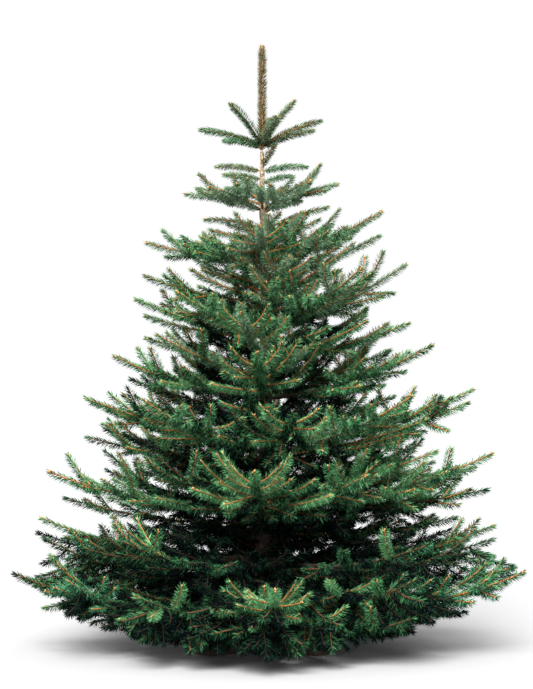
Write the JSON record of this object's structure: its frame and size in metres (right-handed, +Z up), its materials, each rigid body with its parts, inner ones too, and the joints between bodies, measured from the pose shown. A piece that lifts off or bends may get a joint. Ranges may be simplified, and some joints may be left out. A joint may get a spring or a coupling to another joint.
{
  "type": "christmas tree",
  "caption": "Cut spruce Christmas tree with tiers of needled boughs and an upright leader, held on a plain wooden cross stand.",
  "frame": {"origin": "centre of the stand's flat underside, below the trunk's foot, at floor level", "axes": "+Z up along the trunk; -Y is the side that the source view shows; +X is to its right"},
  "size_m": [1.4723, 1.5109, 1.8],
  "materials": {
    "bark": "rough, flaky bark",
    "needles": "satin needles",
    "sawn_wood": "planed, unvarnished softwood"
  },
  "bodies": {
    "root": {"bough_low_1": "bark", "bough_low_2": "bark", "bough_low_3": "bark", "bough_low_4": "bark", "bough_low_5": "bark", "bough_skirt_1": "bark", "bough_skirt_2": "bark", "bough_skirt_3": "bark", "bough_skirt_4": "bark", "bough_skirt_5": "bark", "foliage_branchlet_1": "needles", "foliage_branchlet_2": "needles", "foliage_crown_1": "needles", "foliage_crown_2": "needles", "foliage_crown_3": "needles", "foliage_crown_4": "needles", "foliage_crown_5": "needles", "foliage_high_1": "needles", "foliage_high_2": "needles", "foliage_high_3": "needles", "foliage_high_4": "needles", "foliage_high_5": "needles", "foliage_leader": "needles", "foliage_low_1": "needles", "foliage_low_2": "needles", "foliage_low_3": "needles", "foliage_low_4": "needles", "foliage_low_5": "needles", "foliage_lower_1": "needles", "foliage_lower_2": "needles", "foliage_lower_3": "needles", "foliage_lower_4": "needles", "foliage_lower_5": "needles", "foliage_middle_1": "needles", "foliage_middle_2": "needles", "foliage_middle_3": "needles", "foliage_middle_4": "needles", "foliage_middle_5": "needles", "foliage_neck_1": "needles", "foliage_neck_2": "needles", "foliage_neck_3": "needles", "foliage_neck_4": "needles", "foliage_neck_5": "needles", "foliage_skirt_1": "needles", "foliage_skirt_2": "needles", "foliage_skirt_3": "needles", "foliage_skirt_4": "needles", "foliage_skirt_5": "needles", "foliage_upper_1": "needles", "foliage_upper_2": "needles", "foliage_upper_3": "needles", "foliage_upper_4": "needles", "foliage_upper_5": "needles", "stand_board_lower": "sawn_wood", "stand_board_upper": "sawn_wood", "stand_brace_1": "sawn_wood", "stand_brace_2": "sawn_wood", "stand_brace_3": "sawn_wood", "stand_brace_4": "sawn_wood", "trunk": "bark"}
  },
  "joints": []
}
